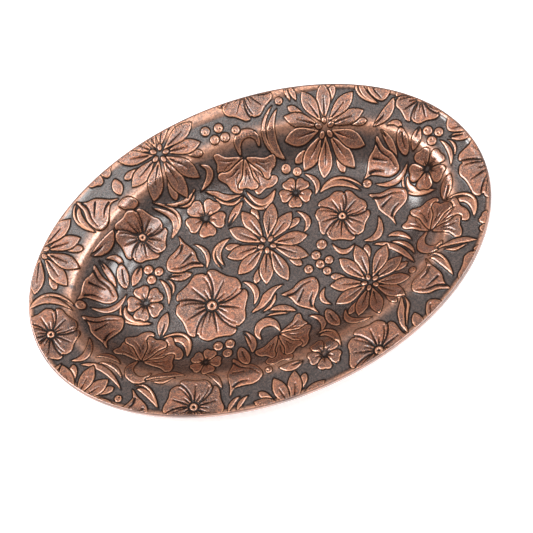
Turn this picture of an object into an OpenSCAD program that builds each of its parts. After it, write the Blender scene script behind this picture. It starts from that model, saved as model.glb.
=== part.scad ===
// Small oval copper dish, pressed from one piece of sheet.
// A flat floor, a sloping wall and a broad rim that tilts up to a plain cut edge.
// Origin: centre of the underside. +X is the long way, +Z is up.

/* [Outline] */
// Length of the oval from edge to edge
tray_length = 102; // [96:1:130]
// Length divided by width
aspect = 1.5; // [1.4:0.05:1.6]

/* [Sheet] */
// Thickness of the copper sheet
sheet = 1.3; // [1:0.1:1.6]
// Radius that softens the corners of the cut edge
edge_round = 0.35; // [0.1:0.05:0.45]

/* [Well] */
// Depth of the floor below the bend at the inside of the rim
well_depth = 6.4; // [5:0.2:7]
// Steepest slope of the wall, in degrees
wall_angle = 42; // [38:1:50]
// Radius of the bend between floor and wall, on the upper face
floor_bend = 9; // [7:0.5:10]

/* [Rim] */
// Width of the straight part of the rim
rim_width = 7.6; // [6:0.2:8.4]
// Rise of the rim towards its edge, in degrees
rim_tilt = 9; // [4:1:14]
// Radius of the bend between wall and rim, on the upper face
rim_bend = 3; // [2.5:0.5:4]

/* [Hidden] */
bend_steps = 6;
corner_steps = 2;
stations = 96;

half_length = tray_length / 2;
half_width = half_length / aspect;

function heading(angle) = [cos(angle), sin(angle)];

// The outline is an ellipse. Each station is a point on it with its outward direction.
function outline_point(turn) = [half_length * cos(turn), half_width * sin(turn)];
function outline_normal(turn) =
    let (n = [half_width * cos(turn), half_length * sin(turn)]) n / norm(n);

// The section runs outwards from the edge of the floor: bend, straight wall, bend, rim.
wall_length = (well_depth - floor_bend * (1 - cos(wall_angle))
    - rim_bend * (cos(rim_tilt) - cos(wall_angle))) / sin(wall_angle);
wall_foot = [floor_bend * sin(wall_angle), sheet + floor_bend * (1 - cos(wall_angle))];
wall_head = wall_foot + wall_length * heading(wall_angle);
rim_foot = wall_head + rim_bend * [sin(wall_angle) - sin(rim_tilt), cos(rim_tilt) - cos(wall_angle)];
rim_end = rim_foot + rim_width * heading(rim_tilt);

function arc(centre, radius, from, to, steps) =
    [for (i = [0:steps]) centre + radius * heading(from + (to - from) * i / steps)];

// One side of the bent sheet, at a given distance below the upper face
function bent_face(below) = concat(
    arc([0, sheet + floor_bend], floor_bend + below, -90, wall_angle - 90, bend_steps),
    arc(wall_head - rim_bend * heading(wall_angle + 90), rim_bend - below,
        wall_angle + 90, rim_tilt + 90, bend_steps));

// One rounded corner of the cut edge: below is how far its centre lies under the upper face
function edge_corner(below, from) =
    arc(rim_end - edge_round * heading(rim_tilt) - below * heading(rim_tilt + 90),
        edge_round, from, from - 90, corner_steps);

function reversed(list) = [for (i = [len(list) - 1:-1:0]) list[i]];

// Section of the sheet from the edge of the floor, over the rim and back underneath
section = concat(
    bent_face(0),
    edge_corner(edge_round, rim_tilt + 90),
    edge_corner(sheet - edge_round, rim_tilt),
    reversed(bent_face(sheet)));
band = max([for (p = section) p[0]]);

// A closed sheet whose section stands square to the outline all the way round
module swept_sheet() {
    rows = len(section);
    points = [for (i = [0:stations - 1], s = section)
        let (turn = 360 * i / stations,
            p = outline_point(turn) - (band - s[0]) * outline_normal(turn))
            [p[0], p[1], s[1]]];
    sides = [for (i = [0:stations - 1], j = [0:rows - 2])
        let (here = i * rows + j, next = (i + 1) % stations * rows + j)
            [here, next, next + 1, here + 1]];
    floor_top = [for (i = [stations - 1:-1:0]) i * rows];
    floor_under = [for (i = [0:stations - 1]) i * rows + rows - 1];
    polyhedron(points, concat(sides, [floor_top, floor_under]));
}

module tray() {
    color([0.64, 0.38, 0.28]) swept_sheet();
}

tray();
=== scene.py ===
import math

import bpy
import numpy as np
from mathutils import Matrix, Vector


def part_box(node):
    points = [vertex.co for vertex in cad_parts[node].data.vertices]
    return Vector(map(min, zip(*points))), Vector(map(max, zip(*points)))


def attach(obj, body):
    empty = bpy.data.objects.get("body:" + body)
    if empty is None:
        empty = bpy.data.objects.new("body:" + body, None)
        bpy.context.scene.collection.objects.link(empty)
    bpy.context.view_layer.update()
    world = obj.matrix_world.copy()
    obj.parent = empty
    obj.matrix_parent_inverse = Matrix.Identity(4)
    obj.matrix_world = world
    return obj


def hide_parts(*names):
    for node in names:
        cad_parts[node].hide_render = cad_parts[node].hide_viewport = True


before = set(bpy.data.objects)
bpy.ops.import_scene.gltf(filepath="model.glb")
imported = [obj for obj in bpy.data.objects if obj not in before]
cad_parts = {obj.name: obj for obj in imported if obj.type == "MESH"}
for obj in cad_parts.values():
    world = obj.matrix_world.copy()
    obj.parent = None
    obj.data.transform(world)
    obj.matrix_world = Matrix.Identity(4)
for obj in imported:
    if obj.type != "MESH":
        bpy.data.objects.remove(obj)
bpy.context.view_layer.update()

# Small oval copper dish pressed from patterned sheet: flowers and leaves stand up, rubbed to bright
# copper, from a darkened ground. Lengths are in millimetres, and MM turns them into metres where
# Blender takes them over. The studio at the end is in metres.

TRAY_LOW, TRAY_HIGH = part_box("tray")
MM = 0.001

# ---- Sheet: the section of the CAD part, with finer bends -------------------------------------
# Length, width and height come from the frame, and the rest is as in part.scad. Angles are in degrees.
HALF_LENGTH = (TRAY_HIGH.x - TRAY_LOW.x) / 2 / MM
HALF_WIDTH = (TRAY_HIGH.y - TRAY_LOW.y) / 2 / MM
HEIGHT = (TRAY_HIGH.z - TRAY_LOW.z) / MM
SHEET = 1.3
EDGE_ROUND = 0.35
WELL_DEPTH = 6.4
WALL_ANGLE = 42
FLOOR_BEND = 9
RIM_WIDTH = 7.6
RIM_TILT = 9
RIM_BEND = 3
BEND_STEPS = 24
CORNER_STEPS = 4

# ---- Mesh and relief -----------------------------------------------------------------------
# A cell of the upper face, and how many of its cells one cell of the underside spans
CELL = 0.2
COARSE = 3
# How deep the ground lies, and how far its slope reaches outside and inside a raised part's edge
RELIEF = 0.28
SLOPE_OUT = 0.16
SLOPE_IN = 0.15
# How much the middle of a raised part dips, and how far inside its edge it has done so
DISH = 0.02
DISH_IN = 1.2
# How far out from a raised part its distance is worked out, and the gaps between overlapping parts
FAR = 1.6
GAP = 0.34
PETAL_GAP = 0.25
# Slow unevenness of the two faces
WAVE = 0.03
UNDER_WAVE = 0.04
# The relief fades out between these distances from the face's border
FADE_FROM = 0.1
FADE_TO = 1.1
# Rubbed bare, and partly a painted highlight along the inner bend: a band along that bend, and a strip
# along the edge that widens on the far side, between these shares of the half width. The strip is fully
# worn over this core share of its width, and loses this share of its relief there.
RIDGE_AT = 8.5
RIDGE_SPREAD = 1.2
EDGE_WEAR = 1.3
FAR_EDGE_WEAR = 4.0
FAR_SIDE = (0.8, 0.97)
WORN_CORE = 0.4
WORN_RELIEF_LOSS = 0.8


# ---- Tools for outlines ----------------------------------------------------------------------


def heading(degrees):
    """The unit vector at this angle."""
    return np.array((math.cos(math.radians(degrees)), math.sin(math.radians(degrees))))


def polar(radius, degrees):
    """Points at these radii and angles."""
    turn = np.radians(degrees)
    return np.column_stack((radius * np.cos(turn), radius * np.sin(turn)))


def spline(points, steps=6, closed=False):
    """A smooth curve through the points."""
    p = np.asarray(points, float)
    ends = (p[-1:], p[:2]) if closed else (2 * p[:1] - p[1:2], 2 * p[-1:] - p[-2:-1])
    p = np.vstack((ends[0], p, ends[1]))
    t = (np.arange(steps) / steps)[:, None]
    runs = [
        0.5 * (2 * b + (c - a) * t + (2 * a - 5 * b + 4 * c - d) * t**2 + (3 * b - a - 3 * c + d) * t**3)
        for a, b, c, d in zip(p, p[1:], p[2:], p[3:])
    ]
    return np.vstack(runs if closed else runs + [p[-2:-1]])


def ribbon(path, half_widths):
    """The outline around a path that is this wide along its way."""
    ahead = np.gradient(path, axis=0)
    ahead /= np.linalg.norm(ahead, axis=1)[:, None]
    side = np.column_stack((-ahead[:, 1], ahead[:, 0])) * half_widths[:, None]
    return np.vstack((path + side, (path - side)[::-1]))


def bow(start, end, bend, steps=16):
    """A curve from start to end whose middle stands off to the left by a share of its length."""
    start, end = np.asarray(start, float), np.asarray(end, float)
    along = end - start
    middle = (start + end) / 2 + 2 * bend * np.array((-along[1], along[0]))
    t = np.linspace(0, 1, steps + 1)[:, None]
    return (1 - t) ** 2 * start + 2 * t * (1 - t) * middle + t**2 * end


def leaf_outline(path, width, widest=0.5, taper=0.75):
    """A leaf along a path. A taper of 0.5 has round ends, and 1 has sharp ones."""
    t = np.linspace(0, 1, len(path))
    swell = np.sin(math.pi * t ** (math.log(0.5) / math.log(widest))).clip(0, 1) ** taper
    return ribbon(path, width / 2 * swell + 0.01)


def tapered(path, widths):
    """The outline of a smooth strip through the points, with these widths spread along it."""
    smooth = spline(path, 6)
    along = np.linspace(0, 1, len(smooth))
    return ribbon(smooth, np.interp(along, np.linspace(0, 1, len(widths)), widths) / 2)


def distance_inside(x, y, outline):
    """Signed distance from points to a closed outline: positive inside it."""
    start = outline
    step = np.roll(outline, -1, axis=0) - outline
    keep = np.hypot(step[:, 0], step[:, 1]) > 1e-9
    start, step = start[keep], step[keep]
    px = x[:, None] - start[:, 0]
    py = y[:, None] - start[:, 1]
    t = ((px * step[:, 0] + py * step[:, 1]) / (step**2).sum(1)).clip(0, 1)
    nearest = np.sqrt(((px - t * step[:, 0]) ** 2 + (py - t * step[:, 1]) ** 2).min(1))
    spans = (py < 0) != (py < step[:, 1])
    left = px * step[:, 1] < py * step[:, 0]
    crossings = (spans & (left == (step[:, 1] > 0))).sum(1)
    return np.where(crossings % 2 == 1, nearest, -nearest)


class Press:
    """The pattern at a set of points: how far each lies inside a raised part, or minus how far
    outside. The field `raised` counts engraved lines as outside, and `body` leaves them out."""

    def __init__(self, x, y):
        self.x = x
        self.y = y
        self.raised = np.full(x.shape, -FAR)
        self.body = self.raised.copy()
        self.shift = np.zeros(2)

    def reach(self, outline):
        """The points near an outline, and their distances inside it."""
        outline = np.asarray(outline, float) + self.shift
        low, high = outline.min(0) - FAR, outline.max(0) + FAR
        near = np.flatnonzero(
            (self.x > low[0]) & (self.x < high[0]) & (self.y > low[1]) & (self.y < high[1])
        )
        return near, distance_inside(self.x[near], self.y[near], outline)

    def add(self, outline, gap=GAP):
        """Lays a raised part over what is there, with a thin dark gap round it."""
        near, inside = self.reach(outline)
        for field in (self.raised, self.body):
            field[near] = np.maximum(inside, np.minimum(field[near], -inside - gap))

    def join(self, outline):
        """Adds a raised part that runs into what it touches."""
        near, inside = self.reach(outline)
        for field in (self.raised, self.body):
            field[near] = np.maximum(inside, field[near])

    def tuck(self, outline, gap=GAP):
        """Lays a raised part under what is there."""
        near, inside = self.reach(outline)
        for field in (self.raised, self.body):
            field[near] = np.maximum(field[near], np.minimum(inside, -field[near] - gap))

    def cut(self, outline):
        """Cuts an outline down to the ground."""
        near, inside = self.reach(outline)
        for field in (self.raised, self.body):
            field[near] = np.minimum(field[near], -inside)

    def line(self, path, start, end):
        """Engraves a line that goes from one half-width to another."""
        near, inside = self.reach(ribbon(path, np.linspace(start, end, len(path))))
        self.raised[near] = np.minimum(self.raised[near], -inside)

    def disc(self, x, y, radius, cut=False):
        """Lays a round raised part, or cuts a round hole."""
        outline = polar(radius, np.arange(0, 360, 15)) + (x, y)
        (self.cut if cut else self.add)(outline)


# ---- Kinds of motif --------------------------------------------------------------------------
# A reach is the length from a flower's centre to its petals' tips. A turn is in degrees.

# Half-widths of engraved lines at their start and end
DAISY_VEIN = (0.17, 0.05)
NOTCHED_VEIN = (0.19, 0.05)
NOTCHED_SIDE_VEIN = (0.13, 0.04)
LEAF_SLIT = (0.3, 0.1)
SEED_SLIT = (0.1, 0.16)
# Points of a straight engraved line
VEIN_POINTS = 4

# Outer edge of a pinwheel petal: share of the way round it, share of the flower's reach
PINWHEEL_EDGE = (
    (0, 0.87), (0.07, 0.945), (0.26, 0.985), (0.46, 0.905), (0.62, 0.92), (0.8, 1.0), (0.93, 0.985),
)
# Degrees by which the seams between petals lag at the flower's centre
PINWHEEL_SWIRL = 17
# The reach at which the engraved lines start with the half-widths given below
PINWHEEL_REACH = 8
# Half-widths of a seam and of the second line beside it
PINWHEEL_SEAM = (0.21, 0.13)
PINWHEEL_SECOND = (0.16, 0.06)
# Straight veins of a petal: degrees from its first seam, share of the reach where they end, half-widths
PINWHEEL_VEINS = ((36, 0.76, 0.24, 0.06), (15, 0.47, 0.19, 0.05))


def pinwheel(press, x, y, reach, turn):
    """A round flower of five broad petals parted by curved double lines."""
    centre = np.array((x, y))
    petals = turn + 72 * np.arange(5)
    share, size = np.array(PINWHEEL_EDGE).T
    edge = [polar(reach * size, petal + 72 * share) for petal in petals]
    press.add(spline(np.vstack(edge), 5, closed=True) + centre)
    fine = (reach / PINWHEEL_REACH) ** 0.5
    for petal in petals:
        seam = np.linspace(0.16, 1.0, 14)
        swirl = petal - PINWHEEL_SWIRL * (1 - seam**2)
        press.line(polar(reach * seam, swirl) + centre, PINWHEEL_SEAM[0] * fine, PINWHEEL_SEAM[1])
        second = np.linspace(0.20, 0.84, 12)
        beside = np.degrees((0.19 * second - 0.012) / second)
        swirl = petal - PINWHEEL_SWIRL * (1 - second**2) + beside
        press.line(polar(reach * second, swirl) + centre, PINWHEEL_SECOND[0] * fine, PINWHEEL_SECOND[1])
        for angle, out, start, end in PINWHEEL_VEINS:
            vein = polar(reach * np.linspace(0.2, out, VEIN_POINTS), petal + angle) + centre
            press.line(vein, start * fine, end)
    # The eye: a sunken ring, a button and its hole
    press.disc(x, y, 0.2 * reach, cut=True)
    press.disc(x, y, 0.133 * reach)
    press.disc(x, y, 0.048 * reach, cut=True)


# Degrees from the middle of a pair of petals to each of the two, how many more there are at their
# feet, and where the narrow petal shows beside the pair
PAIR_SPREAD = 14.7
PAIR_SPLAY = 3.3
NARROW_AT = -29.5


def daisy(press, x, y, reach, turn):
    """A daisy of five pairs of broad pointed petals, with a narrow petal behind each gap."""
    centre = np.array((x, y))
    for k in range(5):
        for side in (-1, 1):
            angle = turn + 72 * k + PAIR_SPREAD * side
            long = reach * (1.0 + 0.035 * math.sin(2.3 * k + side))
            splay = PAIR_SPLAY * side * np.linspace(1, 0, 22) ** 2
            path = polar(np.linspace(0.13, 1, 22) * long, angle + splay) + centre
            press.add(leaf_outline(path, 0.325 * reach, 0.60, 0.9), PETAL_GAP)
            vein = polar(np.linspace(0.26, 0.70, VEIN_POINTS) * long, angle + 1.2 * side) + centre
            press.line(vein, *DAISY_VEIN)
    for k in range(5):
        path = polar(np.linspace(0.50, 0.99, 14) * reach, turn + 72 * k + NARROW_AT) + centre
        press.tuck(leaf_outline(path, 0.17 * reach, 0.68, 0.6), PETAL_GAP)
    press.disc(x, y, 0.16 * reach, cut=True)
    for k in range(5):
        angle = turn - 12 + 72 * k
        ends = polar(np.array((0.075, 0.23)) * reach, angle) + centre
        press.add(leaf_outline(bow(*ends, 0, 10), 0.105 * reach, 0.5, 0.55), PETAL_GAP)


# Outline of a notched petal: share of the flower's reach, degrees from the petal's middle
NOTCHED_PETAL = (
    (0.12, 0), (0.30, 27), (0.52, 32), (0.74, 32), (0.91, 26), (0.99, 15), (0.93, 1),
    (0.99, -13), (0.93, -26), (0.74, -32), (0.52, -32), (0.30, -27),
)


def notched_flower(press, x, y, reach, turn):
    """A small flower of five petals with a dip in each outer edge."""
    centre = np.array((x, y))
    size, angle = np.array(NOTCHED_PETAL).T
    for k in range(5):
        petal = turn + 72 * k
        press.add(spline(polar(size * reach, angle + petal), 4, closed=True) + centre, PETAL_GAP)
        press.line(polar(reach * np.linspace(0.1, 0.52, VEIN_POINTS), petal) + centre, *NOTCHED_VEIN)
        for side in (-1, 1):
            vein = polar(reach * np.linspace(0.1, 0.36, VEIN_POINTS), petal + 18 * side) + centre
            press.line(vein, *NOTCHED_SIDE_VEIN)
    press.disc(x, y, 0.17 * reach, cut=True)


def local_axes(along, breadth=1):
    """Axes that lay an outline drawn along x on a direction, with its left side scaled by a breadth."""
    return np.array((along, breadth * np.array((-along[1], along[0]))))


# A bell flower as seen from the side, in lengths of the flower: along its axis, and to the left
BELL = (
    (-0.02, -0.08), (0.14, -0.25), (0.39, -0.37), (0.71, -0.40), (1.03, -0.55), (0.98, -0.36),
    (0.97, -0.2), (1.01, 0.03), (0.95, 0.26), (0.86, 0.48), (0.81, 0.76), (0.73, 0.50), (0.48, 0.37),
    (0.21, 0.28), (0.04, 0.13),
)
# Its engraved lines: their points, then their half-widths at the start and end
BELL_SLITS = (
    (((0.10, -0.08), (0.41, -0.22), (0.73, -0.25), (1.0, -0.40)), 0.05, 0.26),
    (((0.44, -0.12), (0.68, -0.05), (0.90, 0.02)), 0.08, 0.24),
    (((0.36, 0.18), (0.62, 0.28), (0.78, 0.46)), 0.06, 0.3),
)


def bell(press, x, y, mouth_x, mouth_y, flip=1):
    """A bell flower from its round end to the middle of its mouth. A flip of -1 mirrors it."""
    cup = np.array((x, y), float)
    axes = local_axes(np.array((mouth_x, mouth_y)) - cup, flip)
    press.add(spline(np.array(BELL) @ axes, 5, closed=True) + cup)
    for path, start, end in BELL_SLITS:
        press.line(spline(np.array(path) @ axes, 5) + cup, start, end)


# A flaring petal and the folds in it: along its axis and to the left, in lengths of the petal
FLARED_PETAL = (
    (0.06, 0), (0.32, -0.12), (0.60, -0.21), (0.80, -0.40), (0.95, -0.36), (0.93, -0.08), (1.0, 0.12),
    (0.98, 0.34), (0.85, 0.44), (0.62, 0.24), (0.32, 0.14),
)
FLARED_FOLDS = (
    (((0.36, -0.02), (0.60, -0.06), (0.80, -0.16)), 0.13, 0.05),
    (((0.46, 0.05), (0.62, 0.08), (0.78, 0.17)), 0.11, 0.05),
)
# An orchid's petals from the back to the front: degrees from its middle, length and breadth
ORCHID_PETALS = ((37, 1.16, 0.85), (70, 0.92, 0.9), (-72, 0.94, 0.8), (-35, 1.02, 1.0), (3, 0.92, 0.8))
# Its hood, in lengths of the reach: points along the middle, and widths
ORCHID_HOOD = (
    (-0.04, -0.12), (-0.33, -0.17), (-0.55, -0.05), (-0.62, 0.20), (-0.50, 0.42), (-0.28, 0.48),
)
ORCHID_HOOD_WIDTHS = (0.04, 0.21, 0.28, 0.25, 0.17, 0.05)


def orchid(press, x, y, reach, turn, flip):
    """An orchid from the side: flaring petals fanned from one point, and a hooked hood behind it."""
    foot = np.array((x, y))
    for offset, length, breadth in ORCHID_PETALS:
        axes = local_axes(reach * length * heading(turn + flip * offset), flip * breadth)
        press.add(spline(np.array(FLARED_PETAL) @ axes, 4, closed=True) + foot, PETAL_GAP)
        for path, start, end in FLARED_FOLDS:
            press.line(spline(np.array(path) @ axes, 5) + foot, start, end)
    axes = local_axes(reach * heading(turn), flip)
    press.add(tapered(np.array(ORCHID_HOOD) @ axes + foot, reach * np.array(ORCHID_HOOD_WIDTHS)))


def leaf(press, x0, y0, x1, y1, width, bend=0.0, slit=0.0, widest=0.5, taper=0.75):
    """A leaf from its foot to its tip. A slit opens at the foot and runs this share of its length."""
    path = bow((x0, y0), (x1, y1), bend)
    press.add(leaf_outline(path, width, widest, taper))
    if slit:
        aside = 0.12 * width / math.dist((x0, y0), (x1, y1))
        middle = bow((x0, y0), (x1, y1), bend - math.copysign(aside, bend))
        steps = max(3, int(slit * len(path)))
        press.line(middle[:steps], *LEAF_SLIT)


def seed(press, x, y, length, width, turn):
    """A blunt seed with a slit along its middle."""
    half = length / 2 * heading(turn)
    leaf(press, x - half[0], y - half[1], x + half[0], y + half[1], width, 0.04, 0, 0.5, 0.55)
    ends = np.array((x, y)) + np.outer((-0.6, 0.6), half)
    press.line(bow(*ends, 0.05), *SEED_SLIT)


# A dot's small hole, which lies off its centre
DOT_HOLE = 0.16
DOT_HOLE_OFF = 0.35


def dot(press, x, y, radius):
    """A round bead with a small hole. The hole's side changes from dot to dot."""
    press.disc(x, y, radius)
    press.disc(x + DOT_HOLE_OFF * math.cos(7 * x), y + DOT_HOLE_OFF * math.sin(7 * x), DOT_HOLE, cut=True)


def crescent(press, start, bulge, end, width, split=False):
    """A curved leaf through its bulge. A split one has a thin strip that parts from its outer side."""
    start, bulge, end = (np.asarray(p, float) for p in (start, bulge, end))
    t = np.linspace(0, 1, 21)[:, None]
    path = (1 - t) ** 2 * start + 2 * t * (1 - t) * (2 * bulge - (start + end) / 2) + t**2 * end
    if not split:
        press.add(leaf_outline(path, width, 0.5, 0.8))
        return
    ahead = np.gradient(path, axis=0)
    ahead /= np.linalg.norm(ahead, axis=1)[:, None]
    outward = np.column_stack((-ahead[:, 1], ahead[:, 0]))
    if outward[10] @ (bulge - (start + end) / 2) < 0:
        outward = -outward
    body = path - 0.2 * width * outward * np.sin(math.pi * t)
    strip = path + outward * width * (0.5 - 0.62 * t**2 + 0.12 * t)
    press.add(leaf_outline(body, 0.68 * width, 0.52, 0.7))
    press.join(leaf_outline(strip, 0.3 * width, 0.5, 0.5))


# ---- One repeat of the pattern ---------------------------------------------------------------
# The sheet is roll-pressed, so the pattern comes round again after this step.
REPEAT = np.array((66.6, 2.6))
# Where each kind lies, from the dish's centre. Each item holds the values that its function takes after
# `press`.
PINWHEELS = (
    (-13.9, -5.8, 8.0, 8.5), (19.2, 1.9, 5.9, -7), (-22.5, 14.4, 5.5, 8.5), (-24.7, -27.4, 6.4, 30),
    (14.8, -31.2, 6.7, 54), (9.6, 34.2, 6.3, 51),
)
DAISIES = (
    (1.9, 2.4, 9.2, 47), (19.1, -14.6, 8.8, 31.5), (23.0, 20.2, 9.3, 13.5), (-12.2, 28.6, 9.5, 8.6),
    (-6, -36.8, 8.9, 12),
)
NOTCHED_FLOWERS = (
    (-8.3, 13.4, 4.5, 43), (11.9, 11.0, 3.6, 32), (-27, 0.4, 4.1, 17), (-19.4, -17.8, 3.4, 54),
    (4.2, -27.2, 3.6, 36), (-26.9, 31.0, 4.3, 46),
)
BELLS = (
    (-19.9, 6.0, -13.2, 6.9), (33.8, 6.2, 29.7, 11.6), (33.8, 1.3, 27.0, 0.4), (8.7, -9.2, 2.8, -12.6),
    (-9.4, -26.4, -15.5, -22.9), (26.2, -21.4, 32.8, -21.1), (-29.7, 17.7, -29.0, 24.4, -1),
    (28.6, -25.4, 29.3, -31.5),
)
CRESCENTS = (
    ((-12.7, 8.7), (-10.9, 5.8), (-12.1, 2.5), 1.0), ((-8.3, 1.5), (-8.6, 5.2), (-5.0, 6.9), 1.7, True),
    ((10.5, 6.9), (12.0, 4), (10.3, 1.8), 1.2), ((15.2, 14.2), (16.9, 11.5), (15.7, 8.8), 1.2),
    ((2.1, 15.7), (4.2, 11.4), (8.1, 13.5), 2.2, True), ((25.0, 5.7), (21.3, 9.7), (16.8, 8.8), 2.0, True),
    ((-18, 19.1), (-14.3, 15.9), (-16.8, 12), 2.0, True), ((-5, 23.5), (-3.7, 21.6), (-7, 19.2), 1.3),
    ((15, 28), (11.2, 23.4), (12.6, 18.6), 2.6, True), ((-5.9, -3.5), (-4.1, -6.3), (-5.6, -9.3), 1.3),
    ((14.8, -3.1), (16.4, -5.8), (19.2, -5.1), 1.1), ((21.3, -5.2), (24.8, -5.0), (26.3, -1.3), 1.5),
    ((26.4, -6.4), (28.9, -6.9), (30.6, -9.4), 1.1), ((22.9, -6.8), (27.0, -9.6), (29.0, -15.2), 1.3),
    ((26.6, -7.8), (29.2, -9.8), (29.9, -13.0), 0.9), ((28.5, 5.8), (32.5, 4.5), (36.4, 6.5), 1.2),
    ((35.4, 4.2), (35.0, 1.1), (39.4, -1.9), 1.7, True),
    ((-26.3, -9.4), (-22.0, -10.6), (-22.7, -14.7), 2.0, True),
    ((32, -16.5), (34, -17.9), (34.9, -22.2), 1.7, True), ((9.8, -11.7), (8.4, -13.7), (9.7, -15.7), 1.1),
    ((4.4, -16.2), (6.6, -18.5), (5.4, -21.2), 1.3), ((4.7, -22.3), (7.2, -23.0), (8, -27), 1.7, True),
    ((-15.1, 19.1), (-11.2, 18.3), (-8.1, 20.0), 1.0), ((-12.7, 17.9), (-10.3, 17.6), (-8.5, 19.2), 0.5),
    ((-22.4, 4.2), (-21.5, 1.3), (-22.5, -1.9), 1.0), ((-20.9, 3.6), (-20.1, 1.8), (-20.9, -0.1), 0.5),
    ((-20.1, -21.3), (-18.5, -23.0), (-18.0, -25.8), 1.2),
    ((-4.1, -12.6), (-1.4, -13.1), (0.6, -13.9), 0.5),
    ((12, -18.3), (12.0, -21.9), (16.3, -23.6), 1.4),
    ((-32.2, 24.2), (-33.4, 21.2), (-31.2, 17.5), 1.7, True),
    ((35.3, 14.9), (37.5, 14.3), (37.4, 12.0), 1.2), ((-15.2, -29), (-17.2, -29.9), (-18.5, -31.5), 0.9),
    ((-13.5, -29.5), (-15.4, -30.4), (-16.7, -31.8), 0.9),
)
LEAVES = (
    (-20.3, 4.0, -15.4, 2.7, 2.0, -0.05, 0.62), (-25.2, 8.8, -28.3, 5.2, 2.0, 0.02, 0.5),
    (-26.6, -8.2, -23.3, -3.5, 2.3, 0.04, 0.6), (-2.8, -11.7, 2.3, -14.1, 1.3, 0.1),
    (-9.8, -14, -9.6, -19.5, 1.8, 0.15, 0.6), (-4.2, 9.8, 0.6, 13.8, 1.6, 0.03, 0.55),
    (-0.4, -26.7, -5.5, -26.2, 1.9, 0.12, 0.5), (32.6, 16, 39, 19.8, 2.2, -0.1, 0.5),
    (-23.2, 23.2, -23.2, 27.0, 2.3, 0.02), (-24.6, 21.2, -20.3, 20.8, 2.6, 0.02),
    (24.5, -30.5, 24.5, -26.6, 2.3, 0.02), (33.8, 14.7, 34.8, 8.6, 1.3, 0.05, 0.4),
    (18.1, 31.6, 18.3, 28.5, 0.8, 0.02), (19.2, 31.6, 19.5, 28.0, 1.1, 0.02),
)
SEEDS = ((-29.3, 7.9, 5.4, 2.4, 80), (-11.3, -19.7, 5.2, 2.4, 95), (8.9, -19, 5.4, 2.4, 102))
DOTS = (
    (-23.9, 7.3, 1.0), (-21.9, 6, 0.95), (-24, 4.9, 1.0), (-1.2, 29.4, 1.0), (1.7, 29, 1.0),
    (0, 26.9, 1.0), (2.3, 26.6, 1.0), (5, 27.2, 0.9), (16, 29.4, 0.85), (12, 16.8, 1.0),
    (14, 15.3, 0.95), (12.7, -2.4, 1.1), (10.7, -4.2, 1.0), (8.1, -6.5, 0.95), (10.8, -6.4, 0.95),
    (12.9, -6.3, 0.9), (11.6, -8.4, 0.9), (-15.8, -14.9, 1.0), (-13.3, -15.4, 1.0),
    (-14.5, -17.3, 1.0), (26.9, 6.6, 0.95), (27.9, -17, 0.75), (-7.6, -25.8, 0.75),
)
ORCHIDS = ((4.6, 21.9, 7.0, -110, 1), (-31.8, -12.8, 7.2, 46, -1), (-3.1, -17.5, 6.9, -66, -1))
# Curved leaves: points along the middle, then their widths
CURVED_LEAVES = (
    (((-6.1, 18.9), (-4.2, 17.6), (-2.4, 16.0), (0.7, 15.3)), (0.1, 1.2, 1.5, 0.1)),
    (((-4.9, 17.2), (-3.4, 15.1), (-1.3, 14.1), (1.0, 14.9)), (0.1, 0.6, 0.7, 0.1)),
    (((-6.5, -10.7), (-4.2, -10.0), (-2.3, -8.7), (-0.3, -7.7), (1.8, -7.5)), (0.2, 1.2, 2.0, 1.1, 0.1)),
    (((-4.5, -11.5), (-2.6, -11.0), (-1.2, -10.0), (-0.4, -8.8)), (0.1, 0.6, 0.6, 0.1)),
    (((21.6, -30.1), (21.5, -27.7), (22.2, -25.2), (23.5, -22.1)), (0.2, 1.3, 1.7, 0.1)),
    (((24.0, -22.3), (24.1, -24.1), (23.1, -26.0), (22.1, -28.4)), (0.1, 0.6, 0.5, 0.1)),
    (((-32, -17.8), (-28.8, -18.0), (-26.2, -18.7), (-24.2, -19.7)), (0.2, 1.1, 1.3, 0.1)),
    (((-31, -18.7), (-29, -19.6), (-26.3, -19.6)), (0.1, 0.8, 0.1)),
)


def press_pattern(x, y):
    """The two distances of Press at each point, for as many repeats as cross the dish."""
    press = Press(x, y)
    for turn in (-1, 0, 1):
        press.shift = turn * REPEAT
        for item in LEAVES:
            leaf(press, *item)
        for item in CRESCENTS:
            crescent(press, *item)
        for item in ORCHIDS:
            orchid(press, *item)
        for path, widths in CURVED_LEAVES:
            press.add(tapered(path, widths))
        for item in BELLS:
            bell(press, *item)
        for item in NOTCHED_FLOWERS:
            notched_flower(press, *item)
        for item in DAISIES:
            daisy(press, *item)
        for item in PINWHEELS:
            pinwheel(press, *item)
        for item in SEEDS:
            seed(press, *item)
        for item in DOTS:
            dot(press, *item)
    return press.raised, press.body


# ---- The sheet's section and mesh ----------------------------------------------------------
def arc(centre, radius, start, end, steps):
    """Points of an arc from one angle to another."""
    return np.array([centre + radius * heading(a) for a in np.linspace(start, end, steps + 1)])


def smoothstep(low, high, value):
    """A smooth rise from 0 to 1 between two values."""
    t = ((value - low) / (high - low)).clip(0, 1)
    return t * t * (3 - 2 * t)


# The upper face's line: how far out from the foot of the floor bend, and how high
WALL = math.radians(WALL_ANGLE)
TILT = math.radians(RIM_TILT)
WALL_LENGTH = (
    WELL_DEPTH - FLOOR_BEND * (1 - math.cos(WALL)) - RIM_BEND * (math.cos(TILT) - math.cos(WALL))
) / math.sin(WALL)
WALL_FOOT = np.array((FLOOR_BEND * math.sin(WALL), SHEET + FLOOR_BEND * (1 - math.cos(WALL))))
WALL_HEAD = WALL_FOOT + WALL_LENGTH * heading(WALL_ANGLE)
RIM_FOOT = WALL_HEAD + RIM_BEND * np.array(
    (math.sin(WALL) - math.sin(TILT), math.cos(TILT) - math.cos(WALL))
)
RIM_END = RIM_FOOT + RIM_WIDTH * heading(RIM_TILT)


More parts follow.
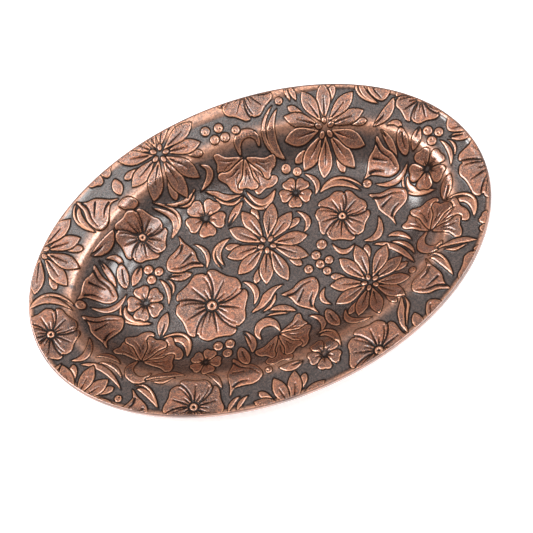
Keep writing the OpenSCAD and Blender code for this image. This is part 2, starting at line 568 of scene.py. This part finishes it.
def bent_face(below):
    """The floor bend, wall and rim bend of the face that lies this far below the upper one."""
    return np.vstack((
        arc(np.array((0, SHEET + FLOOR_BEND)), FLOOR_BEND + below, -90, WALL_ANGLE - 90, BEND_STEPS),
        arc(WALL_HEAD - RIM_BEND * heading(WALL_ANGLE + 90), RIM_BEND - below,
            WALL_ANGLE + 90, RIM_TILT + 90, BEND_STEPS),
    ))


def edge_corner(below, start):
    """A rounded corner of the cut edge, whose centre lies this far below the upper face."""
    centre = RIM_END - EDGE_ROUND * heading(RIM_TILT) - below * heading(RIM_TILT + 90)
    return arc(centre, EDGE_ROUND, start, start - 90, CORNER_STEPS)


EDGE = np.vstack((edge_corner(EDGE_ROUND, RIM_TILT + 90), edge_corner(SHEET - EDGE_ROUND, RIM_TILT)))
UPPER = np.vstack((bent_face(0), EDGE[:1]))
UNDER = np.vstack((bent_face(SHEET), EDGE[-1:]))
# The section's whole reach, and what stretches its height to the frame's (1 but for rounding)
BAND = EDGE[:, 0].max()
LIFT = HEIGHT / EDGE[:, 1].max()
OVAL_STEPS = 6


def outline_and_normal(turn):
    """Points of the dish's outline and the directions that stand square to it."""
    point = np.column_stack((HALF_LENGTH * np.cos(turn), HALF_WIDTH * np.sin(turn)))
    normal = np.column_stack((HALF_WIDTH * np.cos(turn), HALF_LENGTH * np.sin(turn)))
    return point, normal / np.linalg.norm(normal, axis=1)[:, None]


def depth_inside_oval(x, y):
    """Distance from points in the dish to its outline. Each step takes the outline's circle of
    curvature at the last guess, and finds the point of that circle nearest to the given one."""
    a, b = HALF_LENGTH, HALF_WIDTH
    px, py = np.abs(x), np.abs(y)
    cx = np.full(px.shape, math.sqrt(0.5))
    cy = cx.copy()
    for _ in range(OVAL_STEPS):
        ex = (a * a - b * b) * cx**3 / a
        ey = (b * b - a * a) * cy**3 / b
        ratio = np.hypot(a * cx - ex, b * cy - ey) / np.maximum(np.hypot(px - ex, py - ey), 1e-9)
        cx = (((px - ex) * ratio + ex) / a).clip(0, 1)
        cy = (((py - ey) * ratio + ey) / b).clip(0, 1)
        size = np.hypot(cx, cy)
        cx, cy = cx / size, cy / size
    return np.hypot(a * cx - px, b * cy - py)


def oval_grid(columns, rows, inset):
    """A square grid bent to fill the oval, and its border in order, anticlockwise from above."""
    u, v = np.meshgrid(np.linspace(-1, 1, columns + 1), np.linspace(-1, 1, rows + 1))
    x = (HALF_LENGTH - inset) * u * np.sqrt(1 - v * v / 2)
    y = (HALF_WIDTH - inset) * v * np.sqrt(1 - u * u / 2)
    index = np.arange(x.size).reshape(x.shape)
    border = np.concatenate((index[0, :-1], index[:-1, -1], index[-1, :0:-1], index[:0:-1, 0]))
    quads = np.stack((index[:-1, :-1], index[:-1, 1:], index[1:, 1:], index[1:, :-1]), -1).reshape(-1, 4)
    return x.ravel(), y.ravel(), border, quads


def waves(x, y):
    """Slow unevenness of the pressed sheet, from 0 to 1."""
    total = np.sin(0.31 * x + 0.9) * np.sin(0.27 * y + 0.4) + np.sin(0.17 * x - 0.38 * y + 2.0)
    total += 0.6 * np.sin(0.83 * x + 0.55 * y) * np.sin(0.71 * y - 0.47 * x + 1.0)
    return (total / 2.6 + 1) / 2


def upper_face(columns, rows):
    """Vertices, border, border angles and faces of the pressed upper face, and its surface numbers."""
    inset = BAND - UPPER[-1, 0]
    x, y, border, quads = oval_grid(columns, rows, inset)
    turn = np.arctan2(y[border] / (HALF_WIDTH - inset), x[border] / (HALF_LENGTH - inset))
    point, normal = outline_and_normal(turn)
    x[border], y[border] = (point - inset * normal).T
    depth = depth_inside_oval(x, y)
    raised, body = press_pattern(x, y)
    z = np.interp(BAND - depth, UPPER[:, 0], UPPER[:, 1])
    edge_fade = smoothstep(inset + FADE_FROM, inset + FADE_TO, depth)
    ground = 1 - smoothstep(-SLOPE_OUT, SLOPE_IN, raised)
    dished = smoothstep(SLOPE_IN, DISH_IN, raised)
    worn_width = EDGE_WEAR + (FAR_EDGE_WEAR - EDGE_WEAR) * smoothstep(*FAR_SIDE, y / HALF_WIDTH)
    worn = 1 - smoothstep(WORN_CORE * worn_width, worn_width, depth)
    edge_fade *= 1 - WORN_RELIEF_LOSS * worn
    z -= edge_fade * (RELIEF * ground + DISH * dished + WAVE * waves(x, y))
    # The band along the bend is partly rubbed copper and partly a painted highlight of that bend.
    ridge_wear_and_highlight = np.exp(-(((depth - RIDGE_AT) / RIDGE_SPREAD) ** 2))
    rubbed = np.maximum(ridge_wear_and_highlight, worn)
    return np.column_stack((x, y, z)), border, turn, quads, (raised, body, rubbed)


def under_face(columns, rows):
    """Vertices, border and faces of the plain underside."""
    inset = BAND - UNDER[-1, 0]
    x, y, border, quads = oval_grid(columns, rows, inset)
    depth = depth_inside_oval(x, y)
    z = np.interp(BAND - depth, UNDER[:, 0], UNDER[:, 1])
    # The waves set in between 1 and 4 mm from the edge, and run closer together than above.
    z += smoothstep(1, 4, depth) * UNDER_WAVE * waves(1.7 * y, 1.7 * x)
    return np.column_stack((x, y, z)), border, quads[:, ::-1]


# What the material reads at each vertex: the two distances of Press, how far the sheet is rubbed bare or
# carries a painted highlight along the bend, and whether it is plain sheet
SURFACE_NUMBERS = ("motif", "body", "rubbed", "plain")


def tray_mesh():
    """One closed mesh: the upper face, rings down the cut edge, and the coarser underside."""
    columns = COARSE * round(2 * HALF_LENGTH / CELL / COARSE)
    rows = COARSE * round(2 * HALF_WIDTH / CELL / COARSE)
    top, top_border, turn, top_quads, fields = upper_face(columns, rows)
    under, under_border, under_quads = under_face(columns // COARSE, rows // COARSE)
    point, normal = outline_and_normal(turn)
    count = len(turn)
    rings = [np.column_stack((point - (BAND - x) * normal, np.full(count, z))) for x, z in EDGE[1:]]
    under[under_border] = rings.pop()[::COARSE]
    vertices = np.vstack([top] + rings + [under])
    strips = [top_border] + [len(top) + k * count + np.arange(count) for k in range(len(rings))]
    faces = top_quads.tolist()
    for upper, lower in zip(strips, strips[1:]):
        faces += np.column_stack((upper, lower, np.roll(lower, -1), np.roll(upper, -1))).tolist()
    # The last ring meets the underside: three fine edges lie along each coarse one.
    first = len(top) + len(rings) * count
    fine = strips[-1].reshape(-1, COARSE)
    after = np.roll(fine[:, 0], -1)
    coarse = first + under_border
    coarse_after = np.roll(coarse, -1)
    faces += np.column_stack((fine[:, 0], coarse, fine[:, 1])).tolist()
    faces += np.column_stack((fine[:, 1], coarse, coarse_after, fine[:, 2])).tolist()
    faces += np.column_stack((fine[:, 2], coarse_after, after)).tolist()
    faces += (under_quads + first).tolist()
    vertices[:, 2] *= LIFT
    mesh = bpy.data.meshes.new("tray_sheet")
    mesh.from_pydata((vertices * MM).tolist(), [], faces)
    mesh.polygons.foreach_set("use_smooth", np.ones(len(mesh.polygons), bool))
    rest = len(vertices) - len(top)
    fields += (0 * fields[0],)
    for name, on_top, elsewhere in zip(SURFACE_NUMBERS, fields, (1.0, 1.0, 0.0, 1.0)):
        values = np.concatenate((on_top, np.full(rest, elsewhere))).astype(np.float32)
        mesh.attributes.new(name, "FLOAT", "POINT").data.foreach_set("value", values)
    mesh.update()
    return mesh


# ---- Material --------------------------------------------------------------------------------
class Nodes:
    """Adds shader nodes with few words. Inputs are numbers or the outputs of other nodes."""

    def __init__(self, tree):
        self.tree = tree

    def add(self, kind, inputs=(), **settings):
        node = self.tree.nodes.new(kind)
        for name, value in settings.items():
            setattr(node, name, value)
        for socket, value in dict(inputs).items():
            if isinstance(value, bpy.types.NodeSocket):
                self.tree.links.new(value, node.inputs[socket])
            else:
                node.inputs[socket].default_value = value
        return node

    def math(self, operation, a, b):
        return self.add("ShaderNodeMath", {0: a, 1: b}, operation=operation).outputs[0]

    def plus(self, a, b):
        return self.math("ADD", a, b)

    def minus(self, a, b):
        return self.math("SUBTRACT", a, b)

    def times(self, a, b):
        return self.math("MULTIPLY", a, b)

    def ramp(self, value, low, high, to_low=0.0, to_high=1.0):
        """A smooth step from one value to another."""
        inputs = {"Value": value, "From Min": low, "From Max": high, "To Min": to_low, "To Max": to_high}
        return self.add("ShaderNodeMapRange", inputs, interpolation_type="SMOOTHSTEP").outputs[0]

    def mix(self, factor, a, b):
        """Mixes two colours, given as linear red, green and blue or as outputs of other nodes."""
        node = self.add("ShaderNodeMix", {0: factor}, data_type="RGBA")
        for socket, value in ((6, a), (7, b)):
            if isinstance(value, bpy.types.NodeSocket):
                self.tree.links.new(value, node.inputs[socket])
            else:
                node.inputs[socket].default_value = (*value, 1)
        return node.outputs[2]

    def noise(self, place, size_mm, detail=3.0, roughness=0.55):
        """Noise whose spots are about this size."""
        inputs = {"Vector": place, "Scale": 1 / (size_mm * MM), "Detail": detail, "Roughness": roughness}
        return self.add("ShaderNodeTexNoise", inputs).outputs["Fac"]

    def bump(self, height, strength):
        inputs = {"Height": height, "Strength": strength, "Distance": BUMP_MM * MM}
        return self.add("ShaderNodeBump", inputs).outputs[0]


# Raised copper: its patches go from warm to dusky, and its lips are brightest, partly worn copper and
# partly a painted highlight of the bevel
COPPER = (0.50, 0.170, 0.080)
COPPER_DUSKY = (0.18, 0.080, 0.052)
COPPER_BRIGHT_AND_HIGHLIGHT = (0.88, 0.42, 0.235)
PIT = (0.045, 0.022, 0.017)
# Oxide of the ground, darkest at the foot of each raised part (oxide and painted shade), and bare copper
GROUND = (0.110, 0.068, 0.057)
GROUND_BROWN = (0.085, 0.045, 0.034)
GROUND_DARK_AND_SHADE = (0.015, 0.007, 0.005)
# Copper where it is rubbed off, and along the bend partly a painted highlight
COPPER_RUBBED_AND_HIGHLIGHT = (0.76, 0.35, 0.205)
# Plain sheet of the cut edge and the underside
COPPER_PLAIN = (0.55, 0.26, 0.17)
COPPER_PLAIN_DARK = (0.26, 0.135, 0.105)

# Sizes of the noises and of the cells that hold the pits
BROAD_MM = 8.0
PATCH_MM = 2.4
GRAIN_MM = 0.55
FINE_MM = 0.24
PIT_CELL_MM = 0.55
# The width of the strip in which the fine noise shifts the edge of the patina
WANDER_MM = 0.22
# How metallic the oxide, the raised copper and the rubbed copper are
METAL_GROUND = 0.40
METAL_RAISED = 0.95
METAL_RUBBED = 0.95
# Roughness of the raised parts, what the ground adds, what rubbing takes off, and the grain's range
ROUGHNESS = 0.53
ROUGHER_GROUND = 0.04
RUBBED_SHINE = 0.26
LIP_SHINE = 0.15
ROUGHNESS_GRAIN = 0.30
SPECULAR = 0.2
# Bump of the copper and the softer bump of the lacquer over it
BUMP_MM = 0.07
BUMP_STRENGTH = 0.9
LACQUER_BUMP_STRENGTH = 0.25
LACQUER_ROUGHNESS = 0.22
LACQUER_IOR = 2.2
# The share of the lacquer that is lost in dark seams and down the sides of the raised parts
LACQUER_LOSS = 0.9


class Patina:
    """The noises and the surface's numbers that colour, roughness and bump share."""

    def __init__(self, n):
        place = n.add("ShaderNodeTexCoord").outputs["Object"]
        motif, body, self.rubbed, self.plain = (
            n.add("ShaderNodeAttribute", attribute_name=name).outputs["Fac"] for name in SURFACE_NUMBERS
        )
        self.broad = n.noise(place, BROAD_MM)
        self.patchy = n.noise(place, PATCH_MM, 4.0)
        self.grain = n.noise(place, GRAIN_MM, 4.0, 0.7)
        self.fine = n.noise(place, FINE_MM, 2.0, 0.7)

        # The edge of a raised part wanders a little, as worn patina does.
        wander = n.times(n.minus(self.fine, 0.5), WANDER_MM)
        self.inside = n.plus(motif, wander)
        self.lifted = n.ramp(self.inside, -0.05, 0.07)
        self.outer = n.plus(body, wander)
        # The lip: a bright band just inside each raised part's edge, partly polished copper and partly a
        # painted highlight of the bevel.
        lip_wear_and_highlight = n.times(n.ramp(self.outer, 0.0, 0.08), n.ramp(self.outer, 0.14, 0.34, 1.0, 0.0))
        self.lip_wear_and_highlight = n.times(lip_wear_and_highlight, self.lifted)
        # The halo: ground darkest at the foot of each raised part and in the engraved lines, partly oxide
        # in these hollows and partly painted shade.
        self.foot_oxide_and_shade = n.ramp(self.inside, -0.46, -0.16)

        pit_cells = {"Vector": place, "Scale": 1 / (PIT_CELL_MM * MM), "Randomness": 1.0}
        to_pit = n.add("ShaderNodeTexVoronoi", pit_cells).outputs["Distance"]
        pitted_at = n.math("MAXIMUM", n.ramp(self.broad, 0.50, 0.57), self.rubbed)
        self.pitted = n.times(n.ramp(to_pit, 0.18, 0.34, 1.0, 0.0), pitted_at)

        # Bare copper in the ground: worn along the edge, and along the bend partly a painted highlight.
        bare_and_highlight = n.times(self.rubbed, n.ramp(self.patchy, 0.25, 0.45))
        bare_and_highlight = n.times(bare_and_highlight, n.ramp(self.inside, -0.06, -0.30))
        self.bare_and_highlight = n.times(bare_and_highlight, n.ramp(self.grain, 0.48, 0.58, 1.0, 0.5))


def raised_colour(n, patina):
    """Warm copper in patches that turn dusky towards the middle of a part, with bright lips that are
    partly worn copper and partly a painted highlight.
    """
    mottle = n.plus(n.times(patina.broad, 0.55), n.times(patina.patchy, 0.45))
    middle = n.ramp(patina.outer, 0.3, 1.3)
    dusk = n.times(n.ramp(mottle, 0.44, 0.57), n.plus(n.times(middle, 0.45), 0.40))
    colour = n.mix(dusk, COPPER, COPPER_DUSKY)
    colour = n.mix(n.times(n.ramp(patina.grain, 0.45, 0.55), 0.9), colour, COPPER_DUSKY)
    colour = n.mix(n.times(n.ramp(patina.fine, 0.52, 0.66), 0.65), colour, COPPER_BRIGHT_AND_HIGHLIGHT)
    # Painted highlight on the lips, partly worn bright copper.
    colour = n.mix(n.times(patina.lip_wear_and_highlight, 0.8), colour, COPPER_BRIGHT_AND_HIGHLIGHT)
    return n.mix(n.times(patina.pitted, 0.85), colour, PIT)


def ground_colour(n, patina):
    """Grey-brown oxide with dark halos round the raised parts that are partly painted shade, turned to
    copper along the bend by rubbing and a painted highlight.
    """
    colour = n.mix(n.ramp(patina.patchy, 0.42, 0.60), GROUND, GROUND_BROWN)
    colour = n.mix(n.times(n.ramp(patina.grain, 0.44, 0.56), 0.75), colour, GROUND_DARK_AND_SHADE)
    colour = n.mix(n.times(n.ramp(patina.fine, 0.52, 0.70), 0.5), colour, GROUND)
    # Painted shade at the foot of the raised parts, over oxide that is darkest there.
    colour = n.mix(patina.foot_oxide_and_shade, colour, GROUND_DARK_AND_SHADE)
    # Rubbed copper, and along the bend a painted highlight.
    return n.mix(patina.bare_and_highlight, colour, COPPER_RUBBED_AND_HIGHLIGHT)


def plain_colour(n, patina):
    """Copper with broad tarnish and grain, for the cut edge and the underside."""
    colour = n.mix(n.ramp(patina.broad, 0.38, 0.66), COPPER_PLAIN, COPPER_PLAIN_DARK)
    return n.mix(n.times(n.ramp(patina.grain, 0.42, 0.68), 0.5), colour, COPPER_PLAIN_DARK)


def metal_and_roughness(n, patina):
    """The oxide is the least metallic and the roughest, and rubbed copper shines the most."""
    metal = n.plus(n.times(patina.lifted, METAL_RAISED - METAL_GROUND), METAL_GROUND)
    metal = n.math("MAXIMUM", metal, n.times(patina.bare_and_highlight, METAL_RUBBED))
    worn = n.math("MAXIMUM", n.times(patina.lip_wear_and_highlight, LIP_SHINE), patina.rubbed)
    rough = n.plus(n.times(n.minus(1.0, patina.lifted), ROUGHER_GROUND), ROUGHNESS)
    rough = n.minus(rough, n.times(worn, RUBBED_SHINE))
    rough = n.plus(rough, n.times(n.minus(patina.grain, 0.5), ROUGHNESS_GRAIN))
    return metal, rough


def bump_height(n, patina):
    """Grain, the step up to a raised part, and the pits in it, as shares of BUMP_MM."""
    height = n.plus(n.times(patina.grain, 0.9), n.times(patina.fine, 0.6))
    height = n.plus(height, n.times(patina.lifted, 0.6))
    return n.minus(height, n.times(n.times(patina.pitted, patina.lifted), 0.8))


def pressed_copper():
    """Antiqued copper under clear lacquer."""
    material = bpy.data.materials.new("pressed_copper")
    material.use_nodes = True
    material.node_tree.nodes.clear()
    n = Nodes(material.node_tree)
    patina = Patina(n)
    pressed = n.mix(patina.lifted, ground_colour(n, patina), raised_colour(n, patina))
    colour = n.mix(patina.plain, pressed, plain_colour(n, patina))
    metal, rough = metal_and_roughness(n, patina)
    height = bump_height(n, patina)
    bump = n.bump(height, BUMP_STRENGTH)
    lacquer_bump = n.bump(height, LACQUER_BUMP_STRENGTH)
    in_seams = n.times(patina.foot_oxide_and_shade, n.ramp(patina.inside, 0.02, 0.18, LACQUER_LOSS, 0.0))
    surface = n.add(
        "ShaderNodeBsdfPrincipled",
        {
            "Base Color": colour,
            "Metallic": metal,
            "Roughness": rough,
            "Normal": bump,
            "Specular IOR Level": SPECULAR,
            "Coat Weight": n.minus(1.0, in_seams),
            "Coat Roughness": LACQUER_ROUGHNESS,
            "Coat IOR": LACQUER_IOR,
            "Coat Normal": lacquer_bump,
        },
    )
    output = n.add("ShaderNodeOutputMaterial")
    material.node_tree.links.new(surface.outputs[0], output.inputs[0])
    return material


FLOOR_COLOUR = (0.93, 0.93, 0.93, 1)
FLOOR_GLOW = 0.55


def pale_floor():
    """Matt near-white that glows a little, so that the shadow under the dish stays faint."""
    material = bpy.data.materials.new("pale_floor")
    material.use_nodes = True
    surface = material.node_tree.nodes["Principled BSDF"]
    surface.inputs["Base Color"].default_value = FLOOR_COLOUR
    surface.inputs["Roughness"].default_value = 0.9
    surface.inputs["Specular IOR Level"].default_value = 0.1
    surface.inputs["Emission Color"].default_value = (1, 1, 1, 1)
    surface.inputs["Emission Strength"].default_value = FLOOR_GLOW
    return material


# ---- Studio: camera at the photograph's angle, soft lights, floor -------------------------------
# The camera looks down from -y at TARGET, a point level with the rim, and is then rolled about its
# own line of sight. DISTANCE is in metres and LENS in millimetres. These values were fitted once, so
# that the dish's outline falls as it does in the photograph.
ELEVATION = math.radians(69.533)
ROLL = math.radians(22.242)
TARGET = Vector((0, -5.139, 8.83)) * MM
DISTANCE = 0.36073
LENS = 116.454
SENSOR = 36


def add_camera():
    """The camera at the photograph's viewing angle."""
    data = bpy.data.cameras.new("camera")
    data.lens = LENS
    data.sensor_width = SENSOR
    data.clip_start = 0.01
    data.clip_end = 50
    camera = bpy.data.objects.new("camera", data)
    bpy.context.scene.collection.objects.link(camera)
    back = Vector((0, -math.cos(ELEVATION), math.sin(ELEVATION)))
    level = Vector((1, 0, 0))
    upright = back.cross(level)
    right = math.cos(ROLL) * level - math.sin(ROLL) * upright
    up = math.sin(ROLL) * level + math.cos(ROLL) * upright
    axes = Matrix((right, up, back)).transposed().to_4x4()
    camera.matrix_world = Matrix.Translation(TARGET + DISTANCE * back) @ axes
    bpy.context.scene.camera = camera


# Each softbox: direction from the dish, distance, its two sides, and how bright its face is. The
# first is the broad light overhead, the second the main light high above, and the others give the
# sheen at the right and the left.
SOFTBOXES = (
    ((0.00, 0.24, 0.97), 0.9, 1.0, 1.0, 0.16),
    ((0.18, 0.07, 0.98), 3.0, 0.45, 0.8, 6.0),
    ((0.46, -0.31, 0.83), 0.7, 0.40, 0.36, 4.5),
    ((-0.52, 0.20, 0.83), 0.7, 0.40, 0.36, 7.0),
)
WORLD_BRIGHTNESS = 0.19
FLOOR_HALF_SIDE = 3.0


def add_lights():
    """The softboxes, and an even white glow from all round."""
    for direction, distance, width, length, brightness in SOFTBOXES:
        away = Vector(direction).normalized()
        data = bpy.data.lights.new("softbox", "AREA")
        data.shape = "RECTANGLE"
        data.size = width
        data.size_y = length
        data.energy = brightness * math.pi * width * length
        lamp = bpy.data.objects.new("softbox", data)
        bpy.context.scene.collection.objects.link(lamp)
        aim = away.to_track_quat("Z", "Y").to_matrix().to_4x4()
        lamp.matrix_world = Matrix.Translation(away * distance) @ aim
    world = bpy.data.worlds.new("studio")
    world.use_nodes = True
    background = world.node_tree.nodes["Background"]
    background.inputs["Color"].default_value = (1, 1, 1, 1)
    background.inputs["Strength"].default_value = WORLD_BRIGHTNESS
    bpy.context.scene.world = world


def add_floor():
    mesh = bpy.data.meshes.new("floor")
    signs = ((-1, -1), (1, -1), (1, 1), (-1, 1))
    corners = [(FLOOR_HALF_SIDE * x, FLOOR_HALF_SIDE * y, TRAY_LOW.z) for x, y in signs]
    mesh.from_pydata(corners, [], [(0, 1, 2, 3)])
    floor = bpy.data.objects.new("floor", mesh)
    bpy.context.scene.collection.objects.link(floor)
    mesh.materials.append(pale_floor())


tray = bpy.data.objects.new("pressed_tray", tray_mesh())
bpy.context.scene.collection.objects.link(tray)
tray.data.materials.append(pressed_copper())
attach(tray, "root")
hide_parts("tray")
add_camera()
add_lights()
add_floor()
bpy.context.scene.view_settings.view_transform = "Standard"
